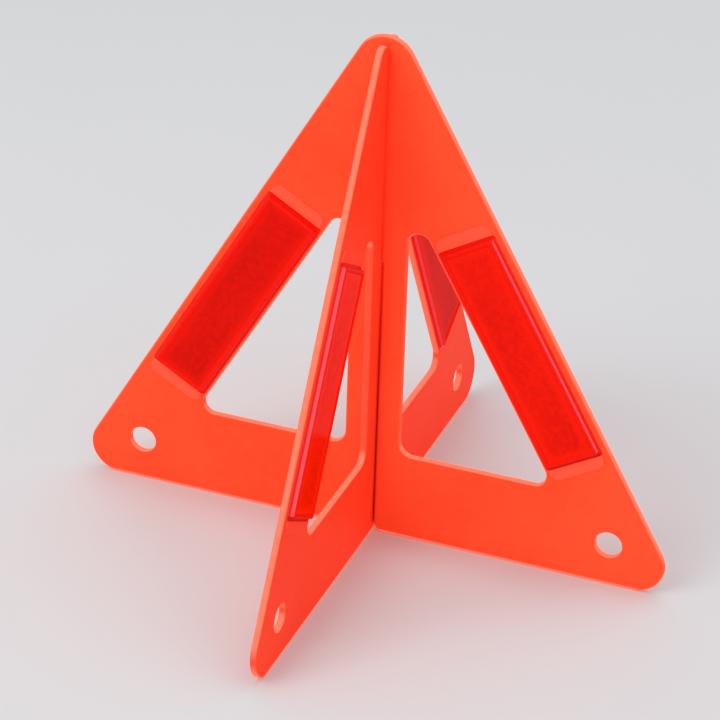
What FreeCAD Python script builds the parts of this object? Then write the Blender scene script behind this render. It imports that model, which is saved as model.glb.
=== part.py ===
"""Warning triangle made of two flat moulded panels that cross at right angles.

Both panels are equilateral triangles with rounded corners. The upper panel is slotted
from its bottom edge and the lower panel from its apex, so the upper one drops over the
lower one and each keeps the other upright. Every wing has a triangular window, an eye
near its corner and a red reflector lens in a shallow seat along its sloping rail.

Units are millimetres. The part stands on z = 0 and the panels cross on the Z axis.
"""
import FreeCAD, Part
import math
import os

import Sketcher

Vector = FreeCAD.Vector

DRIVING_DIMENSIONS = {
    # panel outline
    "side_length": 281.6,       # between the sharp corners of the triangle
    "plate_thickness": 3.0,
    "corner_radius": 13.0,
    "rim_radius": 1.15,         # rounding of every moulded edge
    # windows
    "post_half_width": 12.4,    # from the centre line to a window
    "base_rail": 40.5,          # height of the bottom rail
    "slope_rail": 31.4,         # width of the sloping rail
    "window_radius": 5.0,
    "window_foot_radius": 6.0,  # the square corner beside the post
    # corner eyes
    "eye_offset": 106.5,        # from the centre line
    "eye_height": 19.35,
    "eye_radius": 6.0,
    "eye_rim_radius": 0.4,
    # crossing slots
    "slot_width": 3.4,
    "slot_split": 130.0,        # height where the two slots meet
    "slot_end_gap": 0.5,
    "slot_mouth_radius": 4.5,
    # raised pad and recessed seat for a reflector, centred on the sloping rail
    "seat_along": 126.05,       # from the sharp base corner, up the slope
    "seat_inset": 16.6,         # from the sharp sloping edge, towards the window
    "seat_length": 104.8,
    "seat_width": 27.2,
    "seat_depth": 1.6,
    "seat_radius": 1.4,
    "pad_length": 115.6,
    "pad_width": 25.6,
    "pad_height": 0.4,
    "pad_radius": 3.5,
    # reflector lens
    "lens_length": 104.5,
    "lens_width": 26.9,
    "lens_radius": 1.2,
    "flange_width": 1.2,
    "flange_thickness": 1.2,
    "block_height": 2.0,
    "block_radius": 0.8,
    "block_edge_radius": 0.5,
    "cell_inset": 2.6,
    "cell_depth": 1.7,
    # backing plate behind the lens
    "back_thickness": 0.8,
    "back_rib_height": 0.5,
    "back_rib_clearance": 0.15,
    # ejector marks on the rear face
    "ejector_radius": 3.0,
    "ejector_depth": 0.15,
}

EJECTOR_PLACES = [(0.0, 205.0), (-106.5, 40.0), (106.5, 40.0), (-45.0, 20.0), (45.0, 20.0)]
SLOPE_DEGREES = 60.0
THROUGH_CUT = "dims.plate_thickness * 2"
TOLERANCE = 1e-4

document = FreeCAD.newDocument("warning_triangle")


def make_sheet():
    """Spreadsheet with one named cell for each driving dimension."""
    sheet = document.addObject("Spreadsheet::Sheet", "dims")
    for row, (alias, value) in enumerate(DRIVING_DIMENSIONS.items(), start=1):
        sheet.set(f"A{row}", alias)
        sheet.set(f"B{row}", str(value))
        sheet.setAlias(f"B{row}", alias)
    document.recompute()
    return sheet


SHEET = make_sheet()


def number(expression):
    """Present value of an expression over the sheet's cells."""
    value = SHEET.evalExpression(expression)
    return float(getattr(value, "Value", value))


def origin_plane(body, role):
    return next(item for item in body.Origin.OriginFeatures if item.Role == role)


def new_sketch(body, role, name, offset=("0", "0", "0"), turn=0.0):
    """Sketch on one of the body's own origin planes, moved by three expressions."""
    sketch = body.newObject("Sketcher::SketchObject", name)
    sketch.AttachmentSupport = [(origin_plane(body, role), "")]
    sketch.MapMode = "FlatFace"
    base = Vector(*[number(part) for part in offset])
    turned = FreeCAD.Rotation(Vector(0, 0, 1), turn)
    sketch.AttachmentOffset = FreeCAD.Placement(base, turned)
    for axis, part in zip("xyz", offset):
        if "dims" in part:
            sketch.setExpression(f"AttachmentOffset.Base.{axis}", part)
    return sketch


def bind_point(sketch, line, x_expression, y_expression):
    """Hold the start of a line at a place given by two expressions."""
    for kind, axis, expression in (("DistanceX", -2, x_expression), ("DistanceY", -1, y_expression)):
        value = number(expression)
        if abs(value) < TOLERANCE:
            sketch.addConstraint(Sketcher.Constraint("PointOnObject", line, 1, axis))
            continue
        index = sketch.addConstraint(Sketcher.Constraint(kind, -1, 1, line, 1, value))
        if "dims" in expression:
            sketch.setExpression(f"Constraints[{index}]", expression)


def add_polygon(sketch, corners):
    """Closed outline through corners given as pairs of expressions."""
    points = [Vector(number(x), number(y), 0) for x, y in corners]
    count = len(points)
    for index in range(count):
        sketch.addGeometry(Part.LineSegment(points[index], points[(index + 1) % count]))
    for index in range(count):
        joint = Sketcher.Constraint("Coincident", index, 2, (index + 1) % count, 1)
        sketch.addConstraint(joint)
    for index, (x, y) in enumerate(corners):
        bind_point(sketch, index, x, y)


def add_rectangle(sketch, length, width):
    """Rectangle centred on the sketch's origin."""
    half_length = f"({length}) / 2"
    half_width = f"({width}) / 2"
    add_polygon(sketch, [
        (f"-{half_length}", f"-{half_width}"),
        (half_length, f"-{half_width}"),
        (half_length, half_width),
        (f"-{half_length}", half_width),
    ])


def add_circle(sketch, x, y, radius):
    """Circle placed and sized by expressions or by plain numbers."""
    centre = Vector(number(x), number(y), 0)
    circle = sketch.addGeometry(Part.Circle(centre, Vector(0, 0, 1), number(radius)))
    size = sketch.addConstraint(Sketcher.Constraint("Radius", circle, number(radius)))
    sketch.setExpression(f"Constraints[{size}]", radius)
    for kind, axis, expression in (("DistanceX", -2, x), ("DistanceY", -1, y)):
        value = number(expression)
        if abs(value) < TOLERANCE:
            sketch.addConstraint(Sketcher.Constraint("PointOnObject", circle, 3, axis))
            continue
        index = sketch.addConstraint(Sketcher.Constraint(kind, -1, 1, circle, 3, value))
        if "dims" in expression:
            sketch.setExpression(f"Constraints[{index}]", expression)


def new_body(label):
    body = document.addObject("PartDesign::Body", label)
    body.Label = label
    return body


def volume_of(body):
    return body.Shape.Volume if body.Tip else 0.0


def extrude(body, kind, sketch, length, symmetric=False, reverse=False):
    """Pad or pocket a sketch and check that it changed the solid the right way."""
    before = volume_of(body)
    feature = body.newObject(f"PartDesign::{kind}", f"{sketch.Name}_{kind.lower()}")
    feature.Profile = sketch
    feature.SideType = "Symmetric" if symmetric else "One side"
    feature.Reversed = reverse
    feature.setExpression("Length", length)
    sketch.Visibility = False
    document.recompute()
    change = volume_of(body) - before
    grew = change > TOLERANCE
    shrank = change < -TOLERANCE
    if (kind == "Pad" and not grew) or (kind == "Pocket" and not shrank):
        raise RuntimeError(f"{feature.Name} changed the volume by {change:.4f}")
    return feature


def mirror(body, features, name):
    """Copy features to the other wing of a panel."""
    before = volume_of(body)
    mirrored = body.newObject("PartDesign::Mirrored", name)
    mirrored.Originals = features
    mirrored.MirrorPlane = (origin_plane(body, "YZ_Plane"), [""])
    body.Tip = mirrored
    document.recompute()
    if abs(volume_of(body) - before) < TOLERANCE:
        raise RuntimeError(f"{name} changed nothing")
    return mirrored


def edge_names(shape, wanted):
    return [f"Edge{index}" for index, edge in enumerate(shape.Edges, start=1) if wanted(edge)]


def round_edges(body, name, radius, wanted):
    """Fillet the edges of the body's present shape that pass a test."""
    base = body.Tip
    names = edge_names(base.Shape, wanted)
    if not names:
        raise RuntimeError(f"{name} found no edges")
    fillet = body.newObject("PartDesign::Fillet", name)
    fillet.Base = (base, names)
    fillet.setExpression("Radius", radius)
    document.recompute()
    if not fillet.isValid():
        raise RuntimeError(f"{name} failed")
    return fillet


def is_straight_along(edge, axis):
    """True for a straight edge that runs along a unit vector."""
    if edge.Curve.TypeId != "Part::GeomLine":
        return False
    return edge.Curve.Direction.cross(axis).Length < TOLERANCE


def middle(edge):
    return edge.CenterOfMass


def make_panel(label, slot_from_top, quarter_turns):
    """Triangular panel in its own XZ plane, front face towards -Y, then turned about Z."""
    across = Vector(0, 1, 0)
    half_thickness = number("dims.plate_thickness / 2")
    body = new_body(label)

    outline = new_sketch(body, "XZ_Plane", f"{label}_outline")
    add_polygon(outline, [
        ("-dims.side_length / 2", "0"),
        ("dims.side_length / 2", "0"),
        ("0", "dims.side_length * sqrt(3) / 2"),
    ])
    extrude(body, "Pad", outline, "dims.plate_thickness", symmetric=True)
    round_edges(body, f"{label}_corners", "dims.corner_radius",
                lambda edge: is_straight_along(edge, across))

    window = new_sketch(body, "XZ_Plane", f"{label}_window")
    window_foot = "dims.side_length / 2 - dims.base_rail / sqrt(3) - 2 * dims.slope_rail / sqrt(3)"
    window_top = "(dims.side_length / 2 - dims.post_half_width) * sqrt(3) - 2 * dims.slope_rail"
    add_polygon(window, [
        ("dims.post_half_width", "dims.base_rail"),
        (window_foot, "dims.base_rail"),
        ("dims.post_half_width", window_top),
    ])
    window_cut = extrude(body, "Pocket", window, THROUGH_CUT, symmetric=True)

    eye = new_sketch(body, "XZ_Plane", f"{label}_eye")
    add_circle(eye, "dims.eye_offset", "dims.eye_height", "dims.eye_radius")
    eye_cut = extrude(body, "Pocket", eye, THROUGH_CUT, symmetric=True)
    mirror(body, [window_cut, eye_cut], f"{label}_wing_mirror")

    slot = new_sketch(body, "XZ_Plane", f"{label}_slot")
    half_slot = "dims.slot_width / 2"
    if slot_from_top:
        slot_low = slot_end = "dims.slot_split - dims.slot_end_gap / 2"
        slot_high = "dims.side_length"
    else:
        slot_low = "-dims.corner_radius"
        slot_high = slot_end = "dims.slot_split + dims.slot_end_gap / 2"
    add_polygon(slot, [
        (f"-{half_slot}", slot_low),
        (half_slot, slot_low),
        (half_slot, slot_high),
        (f"-{half_slot}", slot_high),
    ])
    extrude(body, "Pocket", slot, THROUGH_CUT, symmetric=True)

    window_left = number("dims.post_half_width")
    window_right = number(window_foot)
    window_low = number("dims.base_rail")
    slot_edge = number(half_slot)
    slot_end_height = number(slot_end)

    def at_window_square(edge):
        place = middle(edge)
        beside_post = abs(abs(place.x) - window_left) < TOLERANCE
        return is_straight_along(edge, across) and beside_post and abs(place.z - window_low) < TOLERANCE

    def at_window_point(edge):
        place = middle(edge)
        at_foot = abs(abs(place.x) - window_right) < TOLERANCE
        at_top = abs(abs(place.x) - window_left) < TOLERANCE and place.z > window_low + TOLERANCE
        return is_straight_along(edge, across) and (at_foot or at_top)

    def at_slot_mouth(edge):
        place = middle(edge)
        beside_slot = abs(abs(place.x) - slot_edge) < TOLERANCE
        at_closed_end = abs(place.z - slot_end_height) < TOLERANCE
        return is_straight_along(edge, across) and beside_slot and not at_closed_end

    round_edges(body, f"{label}_window_feet", "dims.window_foot_radius", at_window_square)
    round_edges(body, f"{label}_window_points", "dims.window_radius", at_window_point)
    round_edges(body, f"{label}_slot_mouth", "dims.slot_mouth_radius", at_slot_mouth)

    eye_offset = number("dims.eye_offset")

    def is_eye_rim(edge):
        round_edge = edge.Curve.TypeId == "Part::GeomCircle"
        return round_edge and abs(abs(middle(edge).x) - eye_offset) < TOLERANCE

    def is_rim(edge):
        box = edge.BoundBox
        on_face = abs(abs(middle(edge).y) - half_thickness) < TOLERANCE and box.YLength < TOLERANCE
        return on_face and not is_eye_rim(edge)

    round_edges(body, f"{label}_rim", "dims.rim_radius", is_rim)
    round_edges(body, f"{label}_eye_rim", "dims.eye_rim_radius", is_eye_rim)
    add_reflector_seat(body, label)
    add_ejector_marks(body, label)
    body.Placement = FreeCAD.Placement(Vector(), FreeCAD.Rotation(Vector(0, 0, 1), 90.0 * quarter_turns))
    return body


# Place of a reflector's centre in its panel's own XZ plane, on the right wing.
SEAT_X = "dims.side_length / 2 - dims.seat_along / 2 - dims.seat_inset * sqrt(3) / 2"
SEAT_Z = "dims.seat_along * sqrt(3) / 2 - dims.seat_inset / 2"


def add_reflector_seat(body, label):
    """Raised pad along each sloping rail with a sunk seat for a reflector."""
    across = Vector(0, 1, 0)
    front = number("-dims.plate_thickness / 2")
    pad_front = number("-dims.plate_thickness / 2 - dims.pad_height")
    seat_floor = number("-dims.plate_thickness / 2 + dims.seat_depth")
    turn = 180.0 - SLOPE_DEGREES

    pad = new_sketch(body, "XZ_Plane", f"{label}_pad", (SEAT_X, SEAT_Z, "dims.plate_thickness / 2"), turn)
    add_rectangle(pad, "dims.pad_length", "dims.pad_width")
    raised = extrude(body, "Pad", pad, "dims.pad_height")
    mirror(body, [raised], f"{label}_pad_mirror")

    def at_pad_corner(edge):
        return is_straight_along(edge, across) and edge.BoundBox.YMax < front + TOLERANCE

    round_edges(body, f"{label}_pad_corners", "dims.pad_radius", at_pad_corner)

    seat_top = "dims.plate_thickness / 2 + dims.pad_height"
    seat = new_sketch(body, "XZ_Plane", f"{label}_seat", (SEAT_X, SEAT_Z, seat_top), turn)
    add_rectangle(seat, "dims.seat_length", "dims.seat_width")
    sunk = extrude(body, "Pocket", seat, "dims.seat_depth + dims.pad_height")
    mirror(body, [sunk], f"{label}_seat_mirror")

    def at_seat_corner(edge):
        box = edge.BoundBox
        reaches_floor = abs(box.YMax - seat_floor) < TOLERANCE
        return is_straight_along(edge, across) and reaches_floor and box.YMin > pad_front - TOLERANCE

    round_edges(body, f"{label}_seat_corners", "dims.seat_radius", at_seat_corner)


def add_ejector_marks(body, label):
    """Shallow round witness marks left by ejector pins on the rear face."""
    marks = new_sketch(body, "XZ_Plane", f"{label}_ejector", ("0", "0", "-dims.plate_thickness / 2"))
    for x, z in EJECTOR_PLACES:
        add_circle(marks, str(x), str(z), "dims.ejector_radius")
    extrude(body, "Pocket", marks, "dims.ejector_depth", reverse=True)


def reflector_placement(side, quarter_turns):
    """Frame of a reflector: X up the slope, Z out of the panel's front face.

    side is +1 for the wing on the panel's own +X side and -1 for the other one.
    """
    angle = math.radians(SLOPE_DEGREES)
    up_slope = Vector(-side * math.cos(angle), 0, math.sin(angle))
    outward = Vector(0, -1, 0)
    centre = Vector(side * number(SEAT_X), number("-dims.plate_thickness / 2"), number(SEAT_Z))
    on_wing = FreeCAD.Placement(centre, FreeCAD.Rotation(up_slope, outward.cross(up_slope), outward, "XZY"))
    turned = FreeCAD.Placement(Vector(), FreeCAD.Rotation(Vector(0, 0, 1), 90.0 * quarter_turns))
    return turned.multiply(on_wing)


def make_lens(label, placement):
    """Red lens: a flange level with the pad, a raised block, and an air cell behind it.

    Its own XY plane is the front face of the panel.
    """
    upright = Vector(0, 0, 1)
    body = new_body(label)
    flange_low = "dims.back_thickness - dims.seat_depth"
    flange_high = f"{flange_low} + dims.flange_thickness"

    flange = new_sketch(body, "XY_Plane", f"{label}_flange", ("0", "0", flange_low))
    add_rectangle(flange, "dims.lens_length", "dims.lens_width")
    extrude(body, "Pad", flange, "dims.flange_thickness")
    round_edges(body, f"{label}_flange_corners", "dims.lens_radius",
                lambda edge: is_straight_along(edge, upright))

    block = new_sketch(body, "XY_Plane", f"{label}_block", ("0", "0", flange_high))
    add_rectangle(block, "dims.lens_length - 2 * dims.flange_width",
                  "dims.lens_width - 2 * dims.flange_width")
    extrude(body, "Pad", block, "dims.block_height")
    block_foot = number(flange_high)
    block_top = number(f"{flange_high} + dims.block_height")
    round_edges(body, f"{label}_block_corners", "dims.block_radius",
                lambda edge: is_straight_along(edge, upright) and edge.BoundBox.ZMin > block_foot - TOLERANCE)
    round_edges(body, f"{label}_block_edge", "dims.block_edge_radius",
                lambda edge: edge.BoundBox.ZMin > block_top - TOLERANCE)

    cell = new_sketch(body, "XY_Plane", f"{label}_cell", ("0", "0", flange_low))
    add_rectangle(cell, "dims.lens_length - 2 * dims.cell_inset", "dims.lens_width - 2 * dims.cell_inset")
    extrude(body, "Pocket", cell, "dims.cell_depth", reverse=True)
    body.Placement = placement
    return body


def make_lens_back(label, placement):
    """Backing plate on the floor of the seat, with a low plateau that centres the lens."""
    upright = Vector(0, 0, 1)
    body = new_body(label)
    plate = new_sketch(body, "XY_Plane", f"{label}_plate", ("0", "0", "-dims.seat_depth"))
    add_rectangle(plate, "dims.lens_length", "dims.lens_width")
    extrude(body, "Pad", plate, "dims.back_thickness")
    round_edges(body, f"{label}_corners", "dims.lens_radius",
                lambda edge: is_straight_along(edge, upright))

    plateau_low = "dims.back_thickness - dims.seat_depth"
    rim = "2 * (dims.cell_inset + dims.back_rib_clearance)"
    plateau = new_sketch(body, "XY_Plane", f"{label}_plateau", ("0", "0", plateau_low))
    add_rectangle(plateau, f"dims.lens_length - {rim}", f"dims.lens_width - {rim}")
    extrude(body, "Pad", plateau, "dims.back_rib_height")
    body.Placement = placement
    return body


def build():
    """All nodes of the assembly."""
    nodes = []
    for panel, slot_from_top, quarter_turns, wings in (
        ("upper", False, 0, {"left": -1, "right": 1}),
        ("lower", True, 1, {"front": -1, "rear": 1}),
    ):
        nodes.append(make_panel(f"{panel}_panel", slot_from_top, quarter_turns))
        for wing, side in wings.items():
            placement = reflector_placement(side, quarter_turns)
            nodes.append(make_lens(f"{panel}_{wing}_lens", placement))
            nodes.append(make_lens_back(f"{panel}_{wing}_lens_back", placement))
    return nodes


def check_and_export(nodes):
    """Stop on any failed object or bad solid, then write one STEP file for each node."""
    document.recompute()
    for item in document.Objects:
        if "Invalid" in item.State or "Error" in item.State:
            raise RuntimeError(f"{item.Name} is in state {item.State}")
    os.makedirs("parts", exist_ok=True)
    for node in nodes:
        shape = node.Shape
        if shape.isNull() or not shape.isValid() or len(shape.Solids) != 1:
            raise RuntimeError(f"{node.Label} is not one valid solid")
        shape.exportStep(f"parts/{node.Label}.step")
        box = shape.BoundBox
        print(f"{node.Label}: {shape.Volume:.1f} mm3, x {box.XMin:.2f}..{box.XMax:.2f}, "
              f"y {box.YMin:.2f}..{box.YMax:.2f}, z {box.ZMin:.2f}..{box.ZMax:.2f}")


check_and_export(build())
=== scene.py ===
"""Looks of the slot-together warning triangle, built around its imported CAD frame.

The two panels are CAD nodes with a moulded fluorescent plastic. Each reflector lens is a
detailed mesh that stands for its CAD node: a flange in the seat, a drafted block with a
rounded edge, a smooth border, and a sunk field of three-sided prisms.

Units are metres. The triangle stands on z = 0 and its panels cross on the Z axis.
"""

import math
from collections import namedtuple

import bmesh
import bpy
from mathutils import Matrix, Quaternion, Vector


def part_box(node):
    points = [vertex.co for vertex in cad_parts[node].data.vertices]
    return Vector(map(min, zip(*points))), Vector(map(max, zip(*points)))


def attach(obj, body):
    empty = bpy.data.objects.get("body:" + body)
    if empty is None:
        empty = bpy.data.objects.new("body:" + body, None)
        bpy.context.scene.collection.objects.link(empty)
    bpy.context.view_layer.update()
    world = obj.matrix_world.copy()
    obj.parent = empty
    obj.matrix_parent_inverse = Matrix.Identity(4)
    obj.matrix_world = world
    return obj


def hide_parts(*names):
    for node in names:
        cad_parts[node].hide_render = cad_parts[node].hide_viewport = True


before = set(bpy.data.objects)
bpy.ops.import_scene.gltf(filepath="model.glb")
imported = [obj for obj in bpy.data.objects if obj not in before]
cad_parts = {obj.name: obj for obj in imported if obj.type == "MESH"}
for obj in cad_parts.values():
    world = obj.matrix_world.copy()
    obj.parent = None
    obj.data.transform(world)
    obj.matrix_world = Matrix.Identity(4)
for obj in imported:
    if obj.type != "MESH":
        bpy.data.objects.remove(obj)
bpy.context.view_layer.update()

MM = 0.001

# Camera
CAMERA_PLACE = Vector((0.3962, -1.0986, 0.7396))
CAMERA_AIM = Vector((-0.0063, -0.0023, 0.0827))
CAMERA_ROLL = math.radians(1.92)
CAMERA_LENS_MM = 160.1
SENSOR_MM = 36.0

# Studio
FLOOR_HALF = 12.0
SKY_STRENGTH = 0.72
LIGHT_AIM = Vector((0.0, 0.0, 0.1))

# Panels
UP = Vector((0, 0, 1))
SLOPE = math.radians(60)
PANEL_FACING = {"upper": Vector((0, -1, 0)), "lower": Vector((1, 0, 0))}
# Painted light and shade: scales the green and blue of each panel's faces, up on the upper panel, which
# gets more light, down on the lower one, which gets less
PANEL_LIGHT_TONE = {"upper": 1.22, "lower": 0.68}
PAD_PALENESS = {"upper": 0.90, "lower": 0.35}
# Painted highlight on the rims: upright rims get this share of it
UPRIGHT_RIM_HIGHLIGHT = 0.30     # rims that slope or lie flat have 1
PLATE_HALF = 1.5 * MM
CREVICE_REACH = 4.0 * MM

# Painted light and shade on each prism field: lenses that get less light are darkened, the front lens is
# lightened
LENS_LIGHT_TINT = {
    "upper_left_lens": Vector((0.84, 0.60, 0.50)),
    "upper_right_lens": Vector((1.00, 1.00, 0.80)),
    "lower_front_lens": Vector((1.08, 1.50, 1.00)),
    "lower_rear_lens": Vector((0.84, 0.50, 0.50)),
}

# Lens section: insets are from its outer edge, depths are below its front face
FLANGE_WIDTH = 1.2 * MM
FLANGE_TOP = 2.1 * MM
BACK_OF_LENS = 3.2 * MM
BLOCK_DRAFT = 0.12 * MM
EDGE_ROUNDING = 0.5 * MM
EDGE_STEPS = 5
SOFTENING = 0.15 * MM
BORDER_INNER = 2.9 * MM
STEP_DEPTH = 0.35 * MM
STEP_DRAFT = 0.45 * MM
CELL_INSET = 3.3 * MM
CELL_CEILING = 1.5 * MM
FLANGE_CORNER = 1.2 * MM
BLOCK_CORNER = 0.8 * MM
STEP_CORNER = 0.5 * MM
FIELD_CORNER = 0.05 * MM

# Prisms
PRISM_PITCH = 1.9 * MM
PRISM_DEPTH = 0.16 * MM
FIELD_FLOOR = STEP_DEPTH + PRISM_DEPTH + 0.1 * MM
FIELD_INSET = BORDER_INNER + STEP_DRAFT
FIELD_CLEARANCE = 0.02 * MM

# Material slots of a lens mesh
BORDER, STEP, PRISMS = range(3)


# ---------------------------------------------------------------- node helpers

class Shader:
    """A node material written as short calls. Every helper returns an output socket."""

    def __init__(self, name):
        self.material = bpy.data.materials.new(name)
        self.material.use_nodes = True
        self.tree = self.material.node_tree
        self.surface = self.tree.nodes["Principled BSDF"]

    def node(self, kind, inputs=(), **settings):
        made = self.tree.nodes.new(kind)
        for name, value in settings.items():
            setattr(made, name, value)
        for name, value in dict(inputs).items():
            self.feed(made.inputs[name], value)
        return made

    def feed(self, socket, value):
        if isinstance(value, bpy.types.NodeSocket):
            self.tree.links.new(value, socket)
        else:
            socket.default_value = value

    def set(self, **inputs):
        """Inputs of the Principled shader, with underscores for spaces."""
        for name, value in inputs.items():
            self.feed(self.surface.inputs[name.replace("_", " ")], value)

    def object_place(self):
        return self.node("ShaderNodeTexCoord").outputs["Object"]

    def attribute(self, name):
        return self.node("ShaderNodeAttribute", attribute_name=name).outputs["Vector"]

    def math(self, operation, first, second=0.0, clamp=False):
        made = self.node("ShaderNodeMath", {0: first, 1: second}, operation=operation, use_clamp=clamp)
        return made.outputs[0]

    def product(self, first, second):
        return self.math("MULTIPLY", first, second)

    def dot(self, first, second):
        made = self.node("ShaderNodeVectorMath", {0: first, 1: second}, operation="DOT_PRODUCT")
        return made.outputs["Value"]

    def unsigned_dot(self, first, second):
        return self.math("ABSOLUTE", self.dot(first, second))

    def stretched(self, vector, scale):
        made = self.node("ShaderNodeVectorMath", {0: vector, 1: scale}, operation="MULTIPLY")
        return made.outputs["Vector"]

    def noise(self, vector, cycles_per_metre, detail=2.0, roughness=0.5):
        made = self.node("ShaderNodeTexNoise", {
            "Vector": vector, "Scale": cycles_per_metre, "Detail": detail, "Roughness": roughness})
        return made.outputs["Fac"]

    def ramp(self, value, low, high, to_low=0.0, to_high=1.0, smooth=True):
        """Map low..high of a value to to_low..to_high, held at both ends."""
        made = self.node("ShaderNodeMapRange", {
            "Value": value, "From Min": low, "From Max": high, "To Min": to_low, "To Max": to_high},
            interpolation_type="SMOOTHSTEP" if smooth else "LINEAR")
        return made.outputs["Result"]

    def mix(self, factor, first, second, blend="MIX"):
        """Blend two colours by a factor."""
        made = self.node("ShaderNodeMix", data_type="RGBA", blend_type=blend)
        self.feed(made.inputs[0], factor)
        self.feed(made.inputs[6], first)
        self.feed(made.inputs[7], second)
        return made.outputs[2]

    def tinted(self, base, tint):
        """Multiply one colour by another."""
        return self.mix(1.0, base, tint, blend="MULTIPLY")

    def openness(self, reach):
        """One in the open, less in corners and gaps narrower than the reach."""
        made = self.node("ShaderNodeAmbientOcclusion", {"Distance": reach}, samples=4)
        return made.outputs["AO"]

    def bump(self, height, strength, distance, normal=None):
        made = self.node("ShaderNodeBump", {"Height": height, "Strength": strength, "Distance": distance})
        if normal is not None:
            self.feed(made.inputs["Normal"], normal)
        return made.outputs["Normal"]


def colour(red, green, blue):
    return (red, green, blue, 1.0)


# ---------------------------------------------------------------- materials

def panel_plastic(name, facing, light_tone, pad_paleness):
    """Fluorescent red-orange moulding: fine grain, faint flow marks and rubbing, a painted highlight on the
    rims and a painted glow.

    The per-panel tone factor scales the green and blue of the flat faces as painted light and shade:
    lighter on the upper panel, darker on the lower one.
    Gaps and corners get painted shade, a deep red darkest near the ground, except where the bottom edge
    meets the floor.
    """
    shader = Shader(name)
    place = shader.object_place()
    height = shader.dot(place, UP)
    normal = shader.node("ShaderNodeNewGeometry").outputs["Normal"]

    # how much a point belongs to a rim with a painted highlight (weaker on upright rims, plus a painted
    # highlight band along the foot) or to a raised pad, from 0 to 1
    highlit_rim = shader.ramp(shader.unsigned_dot(normal, facing), 0.80, 0.999, 1.0, 0.0)
    rim_highlight_by_slope = shader.ramp(shader.unsigned_dot(normal, UP), 0.0, 0.5, UPRIGHT_RIM_HIGHLIGHT, 1.0)
    foot_highlight = shader.ramp(height, 1.1 * MM, 1.7 * MM, 1.0, 0.0)
    highlit_rim = shader.math("MAXIMUM", shader.product(highlit_rim, rim_highlight_by_slope), foot_highlight)
    raised = shader.ramp(shader.dot(place, facing), PLATE_HALF + 0.05 * MM, PLATE_HALF + 0.35 * MM)

    flow = shader.noise(place, 16.0, 3.0, 0.55)
    mottle = shader.noise(place, 240.0, 3.0, 0.6)
    face = shader.mix(shader.ramp(flow, 0.35, 0.65), colour(0.93, 0.060, 0.018), colour(0.97, 0.074, 0.026))
    face = shader.mix(shader.ramp(mottle, 0.3, 0.75, 0.0, 0.35), face, colour(0.97, 0.085, 0.030))
    face = shader.mix(shader.product(raised, pad_paleness), face, colour(0.98, 0.098, 0.052))
    # painted light and shade: each panel's faces are made lighter or darker by how much light they get
    face = shader.tinted(face, colour(1.0, light_tone, light_tone))
    # painted highlight: paler colour on the rims, strongest where they face up and along the foot
    rim_highlight_colour = shader.mix(shader.ramp(mottle, 0.3, 0.7), colour(0.96, 0.110, 0.060), colour(0.97, 0.135, 0.078))
    base = shader.mix(highlit_rim, face, rim_highlight_colour)

    # pale scuffs, dense on the rims and rare on the faces
    scuff_lines = shader.noise(shader.stretched(place, (1.0, 1.0, 0.25)), 900.0, 4.0, 0.7)
    scuff_patches = shader.noise(place, 60.0, 2.0, 0.5)
    scuffs = shader.product(shader.ramp(scuff_lines, 0.66, 0.80), shader.ramp(scuff_patches, 0.45, 0.65))
    scuffs = shader.product(scuffs, shader.ramp(highlit_rim, 0.0, 1.0, 0.18, 0.75))
    base = shader.mix(scuffs, base, colour(0.95, 0.30, 0.22))

    grain = shader.noise(place, 2600.0, 2.0, 0.6)
    ripple = shader.noise(place, 90.0, 2.0, 0.5)
    roughness = shader.ramp(mottle, 0.2, 0.8, 0.40, 0.54, smooth=False)
    roughness = shader.math("ADD", roughness, shader.product(scuffs, 0.25), clamp=True)
    surface = shader.bump(ripple, 0.25, 0.10 * MM)
    surface = shader.bump(grain, 0.35, 0.012 * MM, surface)

    # painted shade in gaps and corners, found by ambient occlusion: deep red, darkest near the ground, none
    # at the floor line
    by_floor = shader.ramp(height, 2.0 * MM, 6.0 * MM, 1.0, 0.0)
    open_air = shader.ramp(shader.openness(CREVICE_REACH), 0.25, 0.85)
    open_air = shader.math("MAXIMUM", open_air, by_floor)
    high = shader.ramp(height, 60.0 * MM, 190.0 * MM)
    crevice_shade = shader.mix(high, colour(0.60, 0.004, 0.001), colour(0.92, 0.018, 0.005))
    base = shader.mix(open_air, shader.mix(0.90, base, crevice_shade), base)
    # painted glow standing in for fluorescence: paler and stronger on the rims as part of the painted
    # highlight, deep red and dim in the painted shade of gaps
    crevice_painted_glow = shader.mix(high, colour(0.30, 0.0, 0.0), colour(0.90, 0.02, 0.004))
    open_painted_glow = shader.mix(highlit_rim, colour(1.0, 0.055, 0.016), colour(1.0, 0.20, 0.115))
    painted_glow = shader.mix(open_air, crevice_painted_glow, open_painted_glow)
    shader.set(Base_Color=base, Roughness=roughness, Normal=surface, IOR=1.14,
               Subsurface_Weight=0.12, Subsurface_Radius=(1.0, 0.22, 0.10), Subsurface_Scale=1.5 * MM,
               Emission_Color=painted_glow, Emission_Strength=shader.ramp(highlit_rim, 0.0, 1.0, 0.22, 0.55))
    return shader.material


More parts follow.
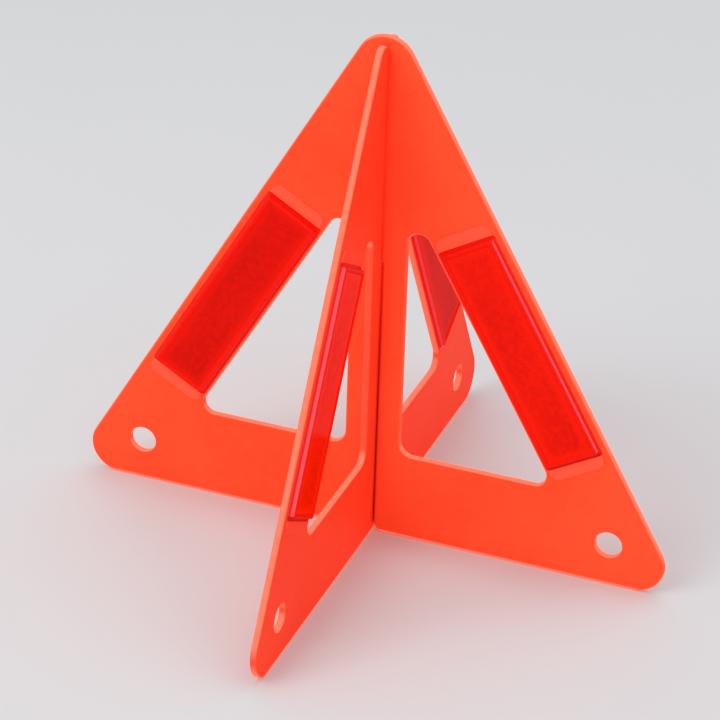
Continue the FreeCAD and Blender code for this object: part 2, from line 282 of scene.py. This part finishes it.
def lens_border_plastic(half_length):
    """Clear red plastic without prisms: flange, block wall and smooth border.

    The long walls get a pink painted highlight, the ends of the flange and the gaps a deeper red painted
    shade, and the whole plastic a faint painted glow.
    """
    shader = Shader("lens_border")
    place = shader.attribute("lens_place")
    near_front = shader.ramp(shader.dot(place, (0, 0, 1)), -FLANGE_TOP, -EDGE_ROUNDING)
    haze = shader.noise(place, 420.0, 3.0, 0.55)
    base = shader.mix(near_front, colour(0.90, 0.018, 0.008), colour(0.84, 0.010, 0.004))
    base = shader.mix(shader.ramp(haze, 0.35, 0.75, 0.0, 0.4), base, colour(0.95, 0.020, 0.010))
    along = shader.unsigned_dot(place, (1, 0, 0))
    block_end = half_length - FLANGE_WIDTH
    true_normal = shader.node("ShaderNodeNewGeometry").outputs["True Normal"]
    # painted highlight: pink on the long walls, stopping short of the block ends
    wall_highlight = shader.ramp(shader.dot(true_normal, shader.attribute("lens_facing")), 0.10, 0.40, 0.80, 0.0)
    off_end = shader.ramp(along, block_end - 1.0 * MM, block_end - 0.6 * MM, 1.0, 0.0)
    base = shader.mix(shader.product(wall_highlight, off_end), base, colour(1.0, 0.15, 0.19))
    # painted shade: deeper red at the block ends
    end_shade = shader.ramp(along, block_end - 0.3 * MM, block_end + 0.1 * MM, 0.0, 0.5)
    base = shader.mix(end_shade, base, colour(0.60, 0.004, 0.0))
    # painted shade in gaps, found by ambient occlusion
    open_air = shader.ramp(shader.openness(CREVICE_REACH / 2), 0.15, 0.65)
    base = shader.mix(open_air, colour(0.68, 0.006, 0.001), base)
    scratches = shader.noise(shader.stretched(place, (0.12, 1.0, 1.0)), 1500.0, 3.0, 0.65)
    # the emission below is a faint painted glow
    shader.set(Base_Color=base, Roughness=shader.ramp(scratches, 0.3, 0.8, 0.12, 0.30, smooth=False),
               Normal=shader.bump(scratches, 0.12, 0.01 * MM), IOR=1.49, Specular_IOR_Level=0.0,
               Coat_Weight=0.15, Coat_Roughness=0.06, Coat_IOR=1.49,
               Subsurface_Weight=0.15, Subsurface_Radius=(1.0, 0.05, 0.03), Subsurface_Scale=1.2 * MM,
               Emission_Color=colour(1.0, 0.010, 0.003), Emission_Strength=0.10)
    return shader.material


def lens_step_plastic():
    """The deeper red line where the border drops to the prisms."""
    shader = Shader("lens_step")
    place = shader.attribute("lens_place")
    streak = shader.noise(shader.stretched(place, (0.3, 0.3, 1.0)), 900.0, 2.0, 0.5)
    base = shader.mix(streak, colour(0.76, 0.006, 0.001), colour(0.86, 0.010, 0.002))
    # the emission below is a painted glow that lifts the step
    shader.set(Base_Color=base, Roughness=0.40, Specular_IOR_Level=0.0, Coat_Weight=0.05,
               Coat_Roughness=0.08, Emission_Color=colour(1.0, 0.006, 0.001), Emission_Strength=0.24)
    return shader.material


def lens_prism_plastic(half_length, half_width):
    """Speckled prism field under a smooth clear skin, paler towards its edges, with painted light or shade
    per lens and a painted glow.
    """
    shader = Shader("lens_prisms")
    place = shader.attribute("lens_place")
    speckle = shader.node("ShaderNodeTexVoronoi", {"Vector": place, "Scale": 520.0, "Randomness": 1.0})
    cell_tone = shader.node("ShaderNodeSeparateColor", {"Color": speckle.outputs["Color"]}).outputs[0]
    cloud = shader.noise(place, 40.0, 0.0, 0.5)

    near_edge = [
        shader.ramp(shader.unsigned_dot(place, direction), half - 4.5 * MM, half - 1.0 * MM)
        for direction, half in (((0, 1, 0), half_width), ((1, 0, 0), half_length))]
    margin = shader.math("MAXIMUM", *near_edge)

    base = shader.mix(shader.ramp(cloud, 0.25, 0.75), colour(0.48, 0.002, 0.0), colour(0.58, 0.004, 0.0))
    base = shader.mix(shader.ramp(cell_tone, 0.2, 0.9, 0.0, 0.3), base, colour(0.85, 0.010, 0.001))
    base = shader.mix(shader.product(margin, 0.75), base, colour(0.74, 0.010, 0.001))
    true_normal = shader.node("ShaderNodeNewGeometry").outputs["True Normal"]
    # painted shade: facets that face down are darkened
    unshaded_facets = shader.ramp(shader.dot(true_normal, UP), -0.2, 0.2)
    base = shader.mix(unshaded_facets, shader.mix(0.30, base, colour(0.25, 0.0, 0.0)), base)
    # painted light and shade tint of this lens
    tint = shader.attribute("lens_light_tint")
    # the emission below is a painted glow, tinted like the field
    shader.set(Base_Color=shader.tinted(base, tint), Roughness=0.45, Specular_IOR_Level=0.0,
               Coat_Weight=0.15, Coat_Roughness=0.07, Coat_IOR=1.49,
               Coat_Normal=shader.attribute("lens_facing"),
               Emission_Color=shader.tinted(colour(1.0, 0.009, 0.001), tint), Emission_Strength=0.40)
    return shader.material


def backing_plastic():
    """Matt off-white plate behind each lens."""
    shader = Shader("lens_backing")
    place = shader.object_place()
    grain = shader.noise(place, 1800.0, 3.0, 0.6)
    base = shader.mix(grain, colour(0.66, 0.66, 0.64), colour(0.78, 0.78, 0.75))
    shader.set(Base_Color=base, Roughness=shader.ramp(grain, 0.2, 0.8, 0.5, 0.7),
               Normal=shader.bump(grain, 0.3, 0.02 * MM))
    return shader.material


def floor_paint():
    """Pale matt studio floor."""
    shader = Shader("floor")
    place = shader.object_place()
    cloud = shader.noise(place, 3.0, 3.0, 0.5)
    grain = shader.noise(place, 700.0, 2.0, 0.6)
    base = shader.mix(cloud, colour(0.60, 0.60, 0.60), colour(0.63, 0.63, 0.625))
    shader.set(Base_Color=base, Roughness=0.85, Specular_IOR_Level=0.25,
               Normal=shader.bump(grain, 0.1, 0.05 * MM))
    return shader.material


# ---------------------------------------------------------------- lens geometry

LensSite = namedtuple("LensSite", "panel centre along across facing length width")


def extent(node, centre, direction):
    """Lowest and highest reach of a CAD node from a centre along a unit vector."""
    reach = [(vertex.co - centre).dot(direction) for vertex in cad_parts[node].data.vertices]
    return min(reach), max(reach)


def lens_site(node):
    """Where a lens sits: its length runs up the slope and its front face is at height zero."""
    panel = node.split("_")[0]
    low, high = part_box(node)
    centre = (low + high) / 2
    facing = PANEL_FACING[panel]
    sideways = UP.cross(facing)
    side = math.copysign(1.0, centre.dot(sideways))
    along = UP * math.sin(SLOPE) - sideways * side * math.cos(SLOPE)
    across = facing.cross(along)
    ends = extent(node, centre, along)
    sides = extent(node, centre, across)
    front = extent(node, centre, facing)[1]
    return LensSite(panel, centre + facing * front, along, across, facing,
                    ends[1] - ends[0], sides[1] - sides[0])


def rounded_rectangle(length, width, radius, steps=4):
    """Corner points of a rectangle with rounded corners, anticlockwise."""
    points = []
    for quarter, (x_side, y_side) in enumerate(((1, 1), (-1, 1), (-1, -1), (1, -1))):
        centre = Vector((x_side * (length / 2 - radius), y_side * (width / 2 - radius)))
        for step in range(steps + 1):
            angle = math.radians(90) * (quarter + step / steps)
            points.append(centre + radius * Vector((math.cos(angle), math.sin(angle))))
    return points


def add_ring(mesh, length, width, inset, corner, depth):
    outline = rounded_rectangle(length - 2 * inset, width - 2 * inset, corner)
    return [mesh.verts.new((point.x, point.y, -depth)) for point in outline]


def join_rings(mesh, lower, upper, material_slot):
    count = len(lower)
    for index in range(count):
        following = (index + 1) % count
        face = mesh.faces.new((lower[index], lower[following], upper[following], upper[index]))
        face.material_index = material_slot
        face.smooth = True


def lens_rings():
    """Section of the lens from the edge of its air cell, round the outside, to the sunk field.

    Each entry is (inset, corner radius, depth below the front face, material slot).
    """
    wall_foot = FLANGE_WIDTH - BLOCK_DRAFT
    rings = [
        (CELL_INSET, STEP_CORNER, BACK_OF_LENS, BORDER),
        (SOFTENING, FLANGE_CORNER, BACK_OF_LENS, BORDER),
        (0.0, FLANGE_CORNER, BACK_OF_LENS - SOFTENING, BORDER),
        (0.0, FLANGE_CORNER, FLANGE_TOP + SOFTENING, BORDER),
        (SOFTENING, FLANGE_CORNER, FLANGE_TOP, BORDER),
        (wall_foot - SOFTENING, BLOCK_CORNER, FLANGE_TOP, BORDER),
        (wall_foot, BLOCK_CORNER, FLANGE_TOP - SOFTENING, BORDER),
    ]
    for step in range(EDGE_STEPS + 1):
        angle = math.radians(90) * step / EDGE_STEPS
        inset = FLANGE_WIDTH + EDGE_ROUNDING * (1 - math.cos(angle))
        depth = EDGE_ROUNDING * (1 - math.sin(angle))
        rings.append((inset, BLOCK_CORNER, depth, BORDER))
    rings.append((BORDER_INNER - 2 * SOFTENING, STEP_CORNER, 0.0, BORDER))
    rings.append((BORDER_INNER, STEP_CORNER, SOFTENING, STEP))
    rings.append((FIELD_INSET, FIELD_CORNER, STEP_DEPTH, STEP))
    rings.append((FIELD_INSET, FIELD_CORNER, FIELD_FLOOR, STEP))
    return rings


def prism_lattice(mesh, length, width, top):
    """Triangular cells that each sink to a point, spread past a rectangle."""
    spacing = PRISM_PITCH * math.sqrt(3) / 2
    lines = math.ceil(length / 2 / spacing) + 1
    columns = math.ceil(width / 2 / PRISM_PITCH) + 1
    knots = {}
    for line in range(-lines, lines + 1):
        shift = (line % 2) / 2
        for column in range(-columns, columns + 1):
            knots[line, column] = mesh.verts.new((line * spacing, (column + shift) * PRISM_PITCH, -top))
    cells = []
    for line in range(-lines, lines):
        lean = line % 2
        for column in range(-columns, columns - 1):
            here, beside = knots[line, column], knots[line, column + 1]
            between, beyond = knots[line + 1, column + lean], knots[line + 1, column + lean + 1]
            cells.append((here, between, beside))
            cells.append((beside, between, beyond))
    for corners in cells:
        middle = sum((corner.co for corner in corners), Vector()) / 3
        point = mesh.verts.new(middle - UP * PRISM_DEPTH)
        for index in range(3):
            mesh.faces.new((corners[index], point, corners[(index + 1) % 3]))


def clip_to_rectangle(mesh, length, width):
    for normal, reach in ((Vector((1, 0, 0)), length / 2), (Vector((0, 1, 0)), width / 2)):
        for side in (1, -1):
            everything = mesh.verts[:] + mesh.edges[:] + mesh.faces[:]
            bmesh.ops.bisect_plane(mesh, geom=everything, plane_co=normal * reach * side,
                                   plane_no=normal * side, clear_outer=True, dist=1e-7)
    loose = [vertex for vertex in mesh.verts if not vertex.link_faces]
    bmesh.ops.delete(mesh, geom=loose, context="VERTS")


def build_prism_field(length, width):
    """Closed slab whose front is the prism relief and whose back is flat."""
    mesh = bmesh.new()
    prism_lattice(mesh, length, width, STEP_DEPTH)
    clip_to_rectangle(mesh, length, width)
    bmesh.ops.recalc_face_normals(mesh, faces=mesh.faces)
    if sum(face.normal.z for face in mesh.faces) < 0:
        bmesh.ops.reverse_faces(mesh, faces=mesh.faces)
    for face in mesh.faces:
        face.material_index = PRISMS
    rim_highlight_colour = [edge for edge in mesh.edges if edge.is_boundary]
    skirt = bmesh.ops.extrude_edge_only(mesh, edges=rim_highlight_colour)["geom"]
    for item in skirt:
        if isinstance(item, bmesh.types.BMVert):
            item.co.z = -FIELD_FLOOR
    foot = [item for item in skirt if isinstance(item, bmesh.types.BMEdge) and item.is_boundary]
    bmesh.ops.contextual_create(mesh, geom=foot)
    bmesh.ops.recalc_face_normals(mesh, faces=mesh.faces)
    return mesh


def build_lens_shell(length, width):
    """Closed lens body around the pocket that the prism field fills."""
    mesh = bmesh.new()
    section = lens_rings()
    rings = [add_ring(mesh, length, width, *entry[:3]) for entry in section]
    for index in range(1, len(rings)):
        join_rings(mesh, rings[index - 1], rings[index], section[index][3])
    cell = add_ring(mesh, length, width, CELL_INSET, STEP_CORNER, CELL_CEILING)
    join_rings(mesh, cell, rings[0], BORDER)
    mesh.faces.new(reversed(cell))
    mesh.faces.new(rings[-1]).material_index = STEP
    bmesh.ops.recalc_face_normals(mesh, faces=mesh.faces)
    return mesh


def lens_mesh(length, width):
    """Mesh of a whole lens in its own frame: X up the slope, Z out of the panel."""
    whole = build_lens_shell(length, width)
    off_sides = 2 * FIELD_INSET + FIELD_CLEARANCE
    field = build_prism_field(length - off_sides, width - off_sides)
    mesh = bpy.data.meshes.new("lens")
    field.to_mesh(mesh)
    whole.from_mesh(mesh)
    whole.to_mesh(mesh)
    whole.free()
    field.free()
    mesh.set_sharp_from_angle(angle=math.radians(40))
    return mesh


def keep_vectors(mesh, name, vectors):
    """Store one vector for each vertex under a name that materials can read."""
    layer = mesh.attributes.new(name, "FLOAT_VECTOR", "POINT")
    layer.data.foreach_set("vector", [number for vector in vectors for number in vector])


def place_lens(node, site, mesh, materials):
    """One lens in the place of its CAD node, with what its materials read kept on its vertices."""
    mesh = mesh.copy()
    mesh.name = f"{node}_mesh"
    own_places = [vertex.co.copy() for vertex in mesh.vertices]
    keep_vectors(mesh, "lens_place", own_places)
    keep_vectors(mesh, "lens_facing", [site.facing] * len(own_places))
    keep_vectors(mesh, "lens_light_tint", [LENS_LIGHT_TINT[node]] * len(own_places))
    turn = Matrix((site.along, site.across, site.facing)).transposed()
    for vertex in mesh.vertices:
        vertex.co = site.centre + turn @ vertex.co
    for material in materials:
        mesh.materials.append(material)
    lens = bpy.data.objects.new(f"{node}_optic", mesh)
    bpy.context.scene.collection.objects.link(lens)
    weighted = lens.modifiers.new("flat_faces_stay_flat", "WEIGHTED_NORMAL")
    weighted.keep_sharp = True
    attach(lens, site.panel)
    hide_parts(node)
    return lens


def add_lenses():
    nodes = [name for name in sorted(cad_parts) if name.endswith("_lens")]
    sites = {node: lens_site(node) for node in nodes}
    length = sites[nodes[0]].length
    width = sites[nodes[0]].width
    mesh = lens_mesh(length, width)
    materials = [
        lens_border_plastic(length / 2),
        lens_step_plastic(),
        lens_prism_plastic(length / 2 - BORDER_INNER, width / 2 - BORDER_INNER),
    ]
    for node in nodes:
        place_lens(node, sites[node], mesh, materials)
    bpy.data.meshes.remove(mesh)


# ---------------------------------------------------------------- CAD nodes

def dress_node(node, material):
    """Give a CAD node its material and keep its shape."""
    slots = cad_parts[node].data.materials
    slots.clear()
    slots.append(material)


def dress_cad_nodes():
    for panel, facing in PANEL_FACING.items():
        plastic = panel_plastic(f"{panel}_panel_plastic", facing, PANEL_LIGHT_TONE[panel], PAD_PALENESS[panel])
        dress_node(f"{panel}_panel", plastic)
    backing = backing_plastic()
    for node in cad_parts:
        if node.endswith("_lens_back"):
            dress_node(node, backing)


# ---------------------------------------------------------------- studio

def add_floor():
    mesh = bpy.data.meshes.new("floor")
    corners = [(x * FLOOR_HALF, y * FLOOR_HALF, 0) for x, y in ((-1, -1), (1, -1), (1, 1), (-1, 1))]
    mesh.from_pydata(corners, [], [(0, 1, 2, 3)])
    mesh.materials.append(floor_paint())
    floor = bpy.data.objects.new("floor", mesh)
    bpy.context.scene.collection.objects.link(floor)


def add_softbox(name, place, size, watts, tint):
    data = bpy.data.lights.new(name, "AREA")
    data.shape = "SQUARE"
    data.size = size
    data.energy = watts
    data.color = tint
    light = bpy.data.objects.new(name, data)
    light.location = place
    light.rotation_euler = (LIGHT_AIM - Vector(place)).to_track_quat("-Z", "Y").to_euler()
    bpy.context.scene.collection.objects.link(light)


def add_lights():
    add_softbox("key", place=(-0.9, -1.3, 1.5), size=1.3, watts=15.0, tint=(1.0, 0.985, 0.96))
    add_softbox("top", place=(0.1, 0.2, 1.9), size=1.6, watts=12.5, tint=(1.0, 1.0, 1.0))
    add_softbox("fill", place=(1.5, -0.4, 0.9), size=1.2, watts=1.5, tint=(0.96, 0.98, 1.0))
    world = bpy.data.worlds.new("studio")
    world.use_nodes = True
    background = world.node_tree.nodes["Background"]
    background.inputs["Color"].default_value = colour(0.93, 0.95, 1.0)
    background.inputs["Strength"].default_value = SKY_STRENGTH
    bpy.context.scene.world = world


def add_camera():
    data = bpy.data.cameras.new("camera")
    data.lens = CAMERA_LENS_MM
    data.sensor_width = SENSOR_MM
    camera = bpy.data.objects.new("camera", data)
    camera.location = CAMERA_PLACE
    level = (CAMERA_AIM - CAMERA_PLACE).to_track_quat("-Z", "Y")
    camera.rotation_euler = (level @ Quaternion(UP, CAMERA_ROLL)).to_euler()
    bpy.context.scene.collection.objects.link(camera)
    bpy.context.scene.camera = camera


add_camera()
add_floor()
add_lights()
dress_cad_nodes()
add_lenses()
bpy.context.scene.view_settings.view_transform = "Standard"
